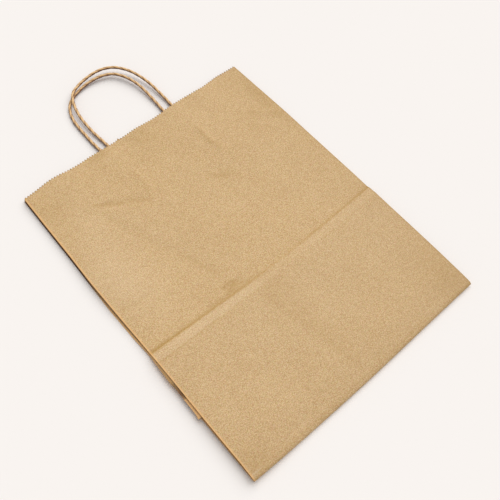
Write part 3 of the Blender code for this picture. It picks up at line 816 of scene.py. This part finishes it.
@dataclass
class BagBody:
    """The bag's folded sheet with its relief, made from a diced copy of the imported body."""

    panel: Panel
    outline: Outline = Outline()
    tones: Tones = Tones()
    pitch: float = 0.0053
    top_pitch: float = 0.0018
    # Closer rows carry the crease's lines, and a few more the painted highlight line beside the bottom
    # fold.
    crease_rows: float = 0.001
    crease_low: float = 0.116
    crease_high: float = 0.136
    fold_rows: tuple[float, ...] = (0.0025, 0.0032, 0.0055)
    edge_column: float = 0.0005
    # Faces this close under the back panel's upper side, read in such steps, are cut finer.
    top_depth: float = 0.0004
    crown_step: float = 0.0005
    merge: float = 2e-6
    flat_deg: float = 0.05
    # The upper sheets' thickness, how much less it is above the crease, and the gap under them.
    upper: float = 0.00060
    pressed: float = 0.00022
    gap: float = 0.0005
    bend: float = 0.008

    def diced(self, node: str, pitch: float) -> Mesh:
        """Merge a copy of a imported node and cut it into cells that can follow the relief.

        Args:
            node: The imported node's name.
            pitch: The cells' width.

        Returns:
            The diced mesh.
        """
        bm = bmesh.new()
        bm.from_mesh(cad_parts[node].data)
        bmesh.ops.remove_doubles(bm, verts=bm.verts, dist=self.merge)
        bmesh.ops.dissolve_limit(bm, angle_limit=math.radians(self.flat_deg), verts=bm.verts,
                                 edges=bm.edges)
        low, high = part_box(node)
        rows = list(np.arange(low.y + pitch, high.y - self.crease_rows, pitch))
        columns = list(np.arange(low.x + pitch, high.x - self.crease_rows, pitch))
        self.cut(bm, rows, columns, list(bm.faces))
        return bm

    def cut(self, bm: Mesh, rows: list[float], columns: list[float],
            faces: list[bmesh.types.BMFace]) -> None:
        """Cut faces along lines across and along the bag.

        Args:
            bm: The mesh.
            rows: Places along the bag.
            columns: Places across the bag.
            faces: The faces that are cut.
        """
        edges = {edge for face in faces for edge in face.edges}
        verts = {vert for face in faces for vert in face.verts}
        parts = [*verts, *edges, *faces]
        for normal, places in (((0, 1, 0), rows), ((1, 0, 0), columns)):
            for place in places:
                parts = bmesh.ops.bisect_plane(bm, geom=parts, dist=1e-6, plane_no=normal,
                                               plane_co=Vector(normal) * float(place))["geom"]

    def refine(self, bm: Mesh) -> None:
        """Cut the panel's top side finer than the rest, since it carries the fine creases.

        Args:
            bm: The diced body.
        """
        low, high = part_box("bag_body")
        heights = np.arange(low.y, high.y, self.crown_step)
        crown = dict(zip(np.round(heights / self.crown_step).astype(int), self.crown(heights)))
        nearest = min(crown), max(crown)

        def on_top(face: bmesh.types.BMFace) -> bool:
            """Tell whether a face lies in the back panel's upper side."""
            if face.normal.z < 0.5:
                return False
            middle = face.calc_center_median()
            step = min(max(round(middle.y / self.crown_step), nearest[0]), nearest[1])
            return middle.z > crown[step] - self.top_depth

        rows = list(np.arange(low.y + self.top_pitch / 2, high.y - self.crease_rows, self.top_pitch))
        fine = [*np.arange(self.crease_low, self.crease_high, self.crease_rows), *self.fold_rows]
        rows += [y + self.panel.bottom for y in fine if low.y < y + self.panel.bottom < high.y]
        columns = list(np.arange(low.x + self.top_pitch / 2, high.x - self.edge_column, self.top_pitch))
        columns += [low.x + self.edge_column, high.x - self.edge_column]
        self.cut(bm, rows, columns, [face for face in bm.faces if on_top(face)])

    def crown(self, y: Array) -> Array:
        """Read the height of the back panel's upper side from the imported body.

        Args:
            y: Places along the bag in the row frame.

        Returns:
            The height at each place.
        """
        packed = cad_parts["bag_body"].data
        places = np.zeros(len(packed.vertices) * 3)
        packed.vertices.foreach_get("co", places)
        places = places.reshape(-1, 3)
        rows = np.unique(np.round(places[:, 1], 5))
        tops = np.array([places[np.abs(places[:, 1] - row) < 2e-5, 2].max() for row in rows])
        kept = tops > np.median(tops) * 0.5
        return np.interp(y, rows[kept], tops[kept])

    def lift_share(self, y: Array, z: Array) -> Array:
        """Return how fully each point follows the upper sheets: 0 for the lower ones, 1 for the upper.

        Args:
            y: Places along the bag in the row frame.
            z: Heights in the row frame.

        Returns:
            A share for each point.
        """
        from_fold = y - self.panel.bottom
        squeezed = smooth_step(from_fold, self.panel.gusset - self.bend, self.panel.gusset)
        under = self.crown(y) - (self.upper - self.pressed * squeezed)
        return smooth_step(z, under - self.gap, under)

    def relief(self, places: Array) -> tuple[Array, dict[str, Array]]:
        """Move points as the paper's relief asks.

        Args:
            places: Points in the row frame, one in each row, in metres.

        Returns:
            The moved points, and the paper's tones at each.
        """
        x, y = self.panel.on_panel(places[:, 0], places[:, 1])
        z = places[:, 2]
        share = self.lift_share(places[:, 1], z)
        moved = places.copy()
        moved[:, 0] += self.outline.across(x, y, share) * MILLIMETRE
        moved[:, 1] += self.outline.along(x, y, share) * MILLIMETRE
        moved[:, 2] += self.panel.rise(x, y) * share * MILLIMETRE * smooth_step(y, 1.0, 12.0)
        moved[:, 2] += self.outline.upward(x, y) * MILLIMETRE
        depth = (self.crown(places[:, 1]) - z) / MILLIMETRE
        return moved, self.tones.mixed(x, y, share, share * smooth_fall(depth, 0.1, 0.3), depth)

    def settle(self, bm: Mesh) -> None:
        """Move a diced mesh's points and keep their tones as attributes.

        Args:
            bm: The diced mesh.
        """
        places = np.array([vert.co for vert in bm.verts], float)
        moved, tones = self.relief(places)
        layers = {name: bm.verts.layers.float.new(name) for name in tones}
        for index, vert in enumerate(bm.verts):
            vert.co = moved[index]
            for name, layer in layers.items():
                vert[layer] = float(tones[name][index])
        bmesh.ops.triangulate(bm, faces=bm.faces)

    def build(self, paper: Material) -> Thing:
        """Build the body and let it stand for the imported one.

        Args:
            paper: The sheet's material.

        Returns:
            The body's object.
        """
        bm = self.diced("bag_body", self.pitch)
        self.refine(bm)
        self.settle(bm)
        body = shown(bm, "folded_bag_sheet", paper, SHEET_SHARP_DEG)
        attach(body, ROOT)
        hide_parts("bag_body")
        LOG.info("%s: %d faces", body.name, len(body.data.polygons))
        return body


@dataclass
class HandlePatch:
    """A glued paper patch with the cord's two pressed ends sealed in it."""

    side: Side
    body: BagBody
    pitch: float = 0.004

    def build(self, paper: Material) -> Thing:
        """Build the patch, which follows the panel that it is glued to.

        Args:
            paper: The patch's material.

        Returns:
            The patch's object.
        """
        node = f"handle_patch_{self.side.value}"
        bm = self.body.diced(node, self.pitch)
        if self.side is Side.BACK:
            panel = self.body.panel
            for vert in bm.verts:
                x, y = panel.on_panel(np.array([vert.co.x]), np.array([vert.co.y]))
                vert.co.z += float(panel.rise(x, y)[0]) * MILLIMETRE
        bmesh.ops.triangulate(bm, faces=bm.faces)
        patch = shown(bm, f"glued_patch_{self.side.value}", paper, SHEET_SHARP_DEG)
        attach(patch, ROOT)
        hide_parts(node)
        LOG.info("%s: %d faces", patch.name, len(patch.data.polygons))
        return patch


@dataclass
class TwistedCord:
    """A paper cord of several strands twisted together, bent to a loop."""

    side: Side
    panel: Panel
    route: tuple[tuple[float, float, float], ...]
    diameter: float = 0.0033
    twisted_diameter: float = 0.0030
    strands: int = 2
    twist_length: float = 0.017
    groove_depth: float = 0.0003
    # The higher this power is, the narrower are the grooves between the strands.
    groove_power: int = 9
    # The painted shade is light on the crests, darker in the grooves and dark down the flanks and
    # underside.
    groove_shade: float = 0.6
    flank_dark: float = 0.25
    flank_light: float = 0.85
    ring_points: int = 24
    ring_pitch: float = 0.00055
    curve_steps: int = 24

    def line(self) -> list[Vector]:
        """Run a smooth curve through the route.

        Returns:
            Evenly spaced points in the row frame.
        """
        shift = Vector((self.panel.middle, self.panel.mouth, 0.0))
        places = [Vector(point) + shift for point in self.route]
        places = [2 * places[0] - places[1], *places, 2 * places[-1] - places[-2]]
        fine: list[Vector] = []
        for index in range(1, len(places) - 2):
            before, start, end, after = places[index - 1:index + 3]
            for step in range(self.curve_steps):
                t = step / self.curve_steps
                fine.append(0.5 * (2 * start + (end - before) * t
                                   + (2 * before - 5 * start + 4 * end - after) * t ** 2
                                   + (3 * start - before - 3 * end + after) * t ** 3))
        fine.append(places[-2])
        lengths = np.concatenate([[0.0], np.cumsum([(b - a).length for a, b in zip(fine, fine[1:])])])
        count = round(lengths[-1] / self.ring_pitch)
        wanted = np.linspace(0.0, lengths[-1], count + 1)
        columns = np.array(fine)
        return [Vector(point) for point in
                np.stack([np.interp(wanted, lengths, columns[:, axis]) for axis in range(3)], axis=1)]

    def radius(self, angle: float) -> float:
        """Return the cord's radius at an angle from a strand's crest."""
        dip = abs(math.sin(angle * self.strands / 2)) ** self.groove_power
        return self.twisted_diameter / 2 - self.groove_depth * dip

    def build(self, finish: Material) -> Thing:
        """Extrude a ring along the route, turning it as the strands twist.

        Args:
            finish: The cord's material.

        Returns:
            The cord's object.
        """
        line = self.line()
        bm = bmesh.new()
        twist_layer = bm.verts.layers.float.new("painted_cord_shade")
        ring = bmesh.ops.create_circle(bm, cap_ends=False, radius=self.diameter / 2,
                                       segments=self.ring_points)["verts"]
        rim = list(bm.edges)
        side = Vector((0.0, 0.0, 1.0))
        gone = 0.0
        angles = [2 * math.pi * place / self.ring_points for place in range(self.ring_points)]
        for index, centre in enumerate(line):
            if index:
                grown = bmesh.ops.extrude_edge_only(bm, edges=rim)["geom"]
                new = {part for part in grown if isinstance(part, bmesh.types.BMVert)}
                rim = [part for part in grown if isinstance(part, bmesh.types.BMEdge)
                       and part.verts[0] in new and part.verts[1] in new]
                partner = {edge.other_vert(vert): vert for vert in new for edge in vert.link_edges
                           if edge.other_vert(vert) not in new}
                ring = [partner[vert] for vert in ring]
                gone += (centre - line[index - 1]).length
            ahead = (line[min(index + 1, len(line) - 1)] - line[max(index - 1, 0)]).normalized()
            side = (side - ahead * side.dot(ahead)).normalized()
            other = ahead.cross(side)
            turn = 2 * math.pi * gone / self.twist_length
            for vert, angle in zip(ring, angles):
                reach = self.radius(angle)
                outward = side * math.cos(angle + turn) + other * math.sin(angle + turn)
                vert.co = centre + outward * reach
                # Paint shade into the grooves and down the flanks and underside, by how each ring point
                # faces.
                dip = (self.twisted_diameter / 2 - reach) / self.groove_depth
                lit = float(smooth_step(outward.z, self.flank_dark, self.flank_light))
                vert[twist_layer] = (1.0 - self.groove_shade * dip) * lit
        bmesh.ops.holes_fill(bm, edges=[edge for edge in bm.edges if edge.is_boundary])
        bmesh.ops.recalc_face_normals(bm, faces=bm.faces)
        cord = shown(bm, f"twisted_cord_{self.side.value}", finish, CORD_SHARP_DEG)
        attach(cord, ROOT)
        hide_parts(f"handle_cord_{self.side.value}")
        LOG.info("%s: %.1f mm long", cord.name, gone / MILLIMETRE)
        return cord


CORD_START = -0.0077
BACK_ROUTE = (
    (0.0460, CORD_START, 0.0020), (0.0462, -0.0020, 0.0020), (0.0464, 0.0042, 0.0021),
    (0.0466, 0.0125, 0.0024), (0.0463, 0.0238, 0.0031), (0.0457, 0.0353, 0.0040),
    (0.0433, 0.0490, 0.0050), (0.0384, 0.0627, 0.0060), (0.0302, 0.0745, 0.0065),
    (0.0204, 0.0809, 0.0064), (0.0092, 0.0832, 0.0061), (-0.0031, 0.0823, 0.0058),
    (-0.0145, 0.0793, 0.0056), (-0.0232, 0.0744, 0.0056), (-0.0288, 0.0655, 0.0054),
    (-0.0320, 0.0553, 0.0047), (-0.0338, 0.0444, 0.0040), (-0.0342, 0.0332, 0.0033),
    (-0.0339, 0.0220, 0.0026), (-0.0329, 0.0119, 0.0022), (-0.0322, 0.0034, 0.0020),
    (-0.0320, -0.0020, 0.0020), (-0.0319, CORD_START, 0.0020),
)
FRONT_ROUTE = (
    (0.0354, CORD_START, 0.0020), (0.0355, -0.0020, 0.0020), (0.0358, 0.0041, 0.0020),
    (0.0363, 0.0125, 0.0021), (0.0364, 0.0240, 0.0027), (0.0362, 0.0360, 0.0035),
    (0.0347, 0.0476, 0.0042), (0.0308, 0.0600, 0.0046), (0.0238, 0.0705, 0.0047),
    (0.0140, 0.0760, 0.0044), (0.0040, 0.0780, 0.0038), (-0.0060, 0.0780, 0.0031),
    (-0.0155, 0.0763, 0.0024), (-0.0248, 0.0732, 0.0018), (-0.0328, 0.0668, 0.0018),
    (-0.0378, 0.0580, 0.0018), (-0.0405, 0.0480, 0.0018), (-0.0414, 0.0380, 0.0018),
    (-0.0415, 0.0270, 0.0018), (-0.0416, 0.0170, 0.0019), (-0.0413, 0.0090, 0.0020),
    (-0.0410, 0.0030, 0.0020), (-0.0409, -0.0020, 0.0020), (-0.0408, CORD_START, 0.0020),
)


@dataclass
class Studio:
    """The pale floor, the soft lights and the camera."""

    camera_place: tuple[float, float, float] = (-0.1800, -0.1967, 0.5202)
    look: tuple[float, float, float] = (0.31226, 0.32162, -0.8939)
    upward: tuple[float, float, float] = (0.57547, 0.68462, 0.44735)
    lens_mm: float = 46.156
    sensor_mm: float = 36.0
    nearest: float = 0.01
    farthest: float = 50.0
    # The floor lies a hair under the bag, so that the two faces don't fall together.
    floor_reach: float = 6.0
    floor_drop: float = 0.00002
    sky: float = 0.4
    lamp_direction: tuple[float, float, float] = (0.59, 0.21, 0.78)
    lamp_angle_deg: float = 68.0
    lamp_share: float = 0.61

    def set_camera(self) -> Thing:
        """Place the camera above the bag's lower left and make it the scene's camera.

        Returns:
            The camera.
        """
        data = bpy.data.cameras.new("camera")
        data.lens = self.lens_mm
        data.sensor_width = self.sensor_mm
        data.clip_start, data.clip_end = self.nearest, self.farthest
        camera = bpy.data.objects.new("camera", data)
        back = -Vector(self.look).normalized()
        right = Vector(self.upward).cross(back).normalized()
        upward = back.cross(right)
        turn = Matrix((right, upward, back)).transposed()
        camera.matrix_world = Matrix.Translation(self.camera_place) @ turn.to_4x4()
        bpy.context.scene.collection.objects.link(camera)
        bpy.context.scene.camera = camera
        return camera

    def lay_floor(self, paint: Material) -> Thing:
        """Lay the floor just under the bag.

        Args:
            paint: The floor's material.

        Returns:
            The floor's object.
        """
        bm = bmesh.new()
        bmesh.ops.create_grid(bm, x_segments=1, y_segments=1, size=self.floor_reach)
        bmesh.ops.translate(bm, verts=bm.verts, vec=(0.0, 0.0, -self.floor_drop))
        floor = shown(bm, "floor", paint, FLOOR_SHARP_DEG)
        return floor

    def hang_lamp(self) -> Thing:
        """Hang the soft lamp, whose power gives its share of a plain light level.

        Returns:
            The lamp.
        """
        towards = Vector(self.lamp_direction).normalized()
        data = bpy.data.lights.new("soft_lamp", "SUN")
        data.angle = math.radians(self.lamp_angle_deg)
        data.energy = self.lamp_share * math.pi / towards.z
        lamp = bpy.data.objects.new("soft_lamp", data)
        lamp.location = towards
        lamp.rotation_mode = "QUATERNION"
        lamp.rotation_quaternion = towards.to_track_quat("Z", "Y")
        bpy.context.scene.collection.objects.link(lamp)
        return lamp

    def light_sky(self) -> bpy.types.World:
        """Light the surroundings evenly and show them as pale as the floor.

        Returns:
            The world.
        """
        world = bpy.data.worlds.new("studio")
        world.use_nodes = True
        tree = world.node_tree
        tree.nodes.clear()
        soft = add_node(tree, "ShaderNodeBackground", Color=(1.0, 1.0, 1.0, 1.0), Strength=self.sky)
        pale = add_node(tree, "ShaderNodeBackground", Color=linear(PALE), Strength=1.0)
        rays = add_node(tree, "ShaderNodeLightPath")
        mixed = add_node(tree, "ShaderNodeMixShader", i0=rays.outputs["Is Camera Ray"],
                         i1=soft.outputs[0], i2=pale.outputs[0])
        add_node(tree, "ShaderNodeOutputWorld", Surface=mixed.outputs[0])
        bpy.context.scene.world = world
        return world


def main() -> None:
    """Build the studio, the cords, the bag and its patches."""
    logging.basicConfig(level=logging.INFO, format="%(message)s")
    bpy.context.scene.view_settings.view_transform = "Standard"
    studio = Studio()
    studio.set_camera()
    panel = Panel()
    cord_paper = CordPaper().build()
    TwistedCord(Side.BACK, panel, BACK_ROUTE).build(cord_paper)
    TwistedCord(Side.FRONT, panel, FRONT_ROUTE).build(cord_paper)
    sheet_paper = KraftPaper().build()
    strip_paper = KraftPaper(name="kraft_strip", dark="#A68453", light="#CDAE7E").build()
    body = BagBody(panel)
    body.build(sheet_paper)
    for side in Side:
        HandlePatch(side, body).build(strip_paper)
    studio.lay_floor(StudioPaint().build())
    studio.hang_lamp()
    studio.light_sky()


if __name__ == "__main__":
    main()
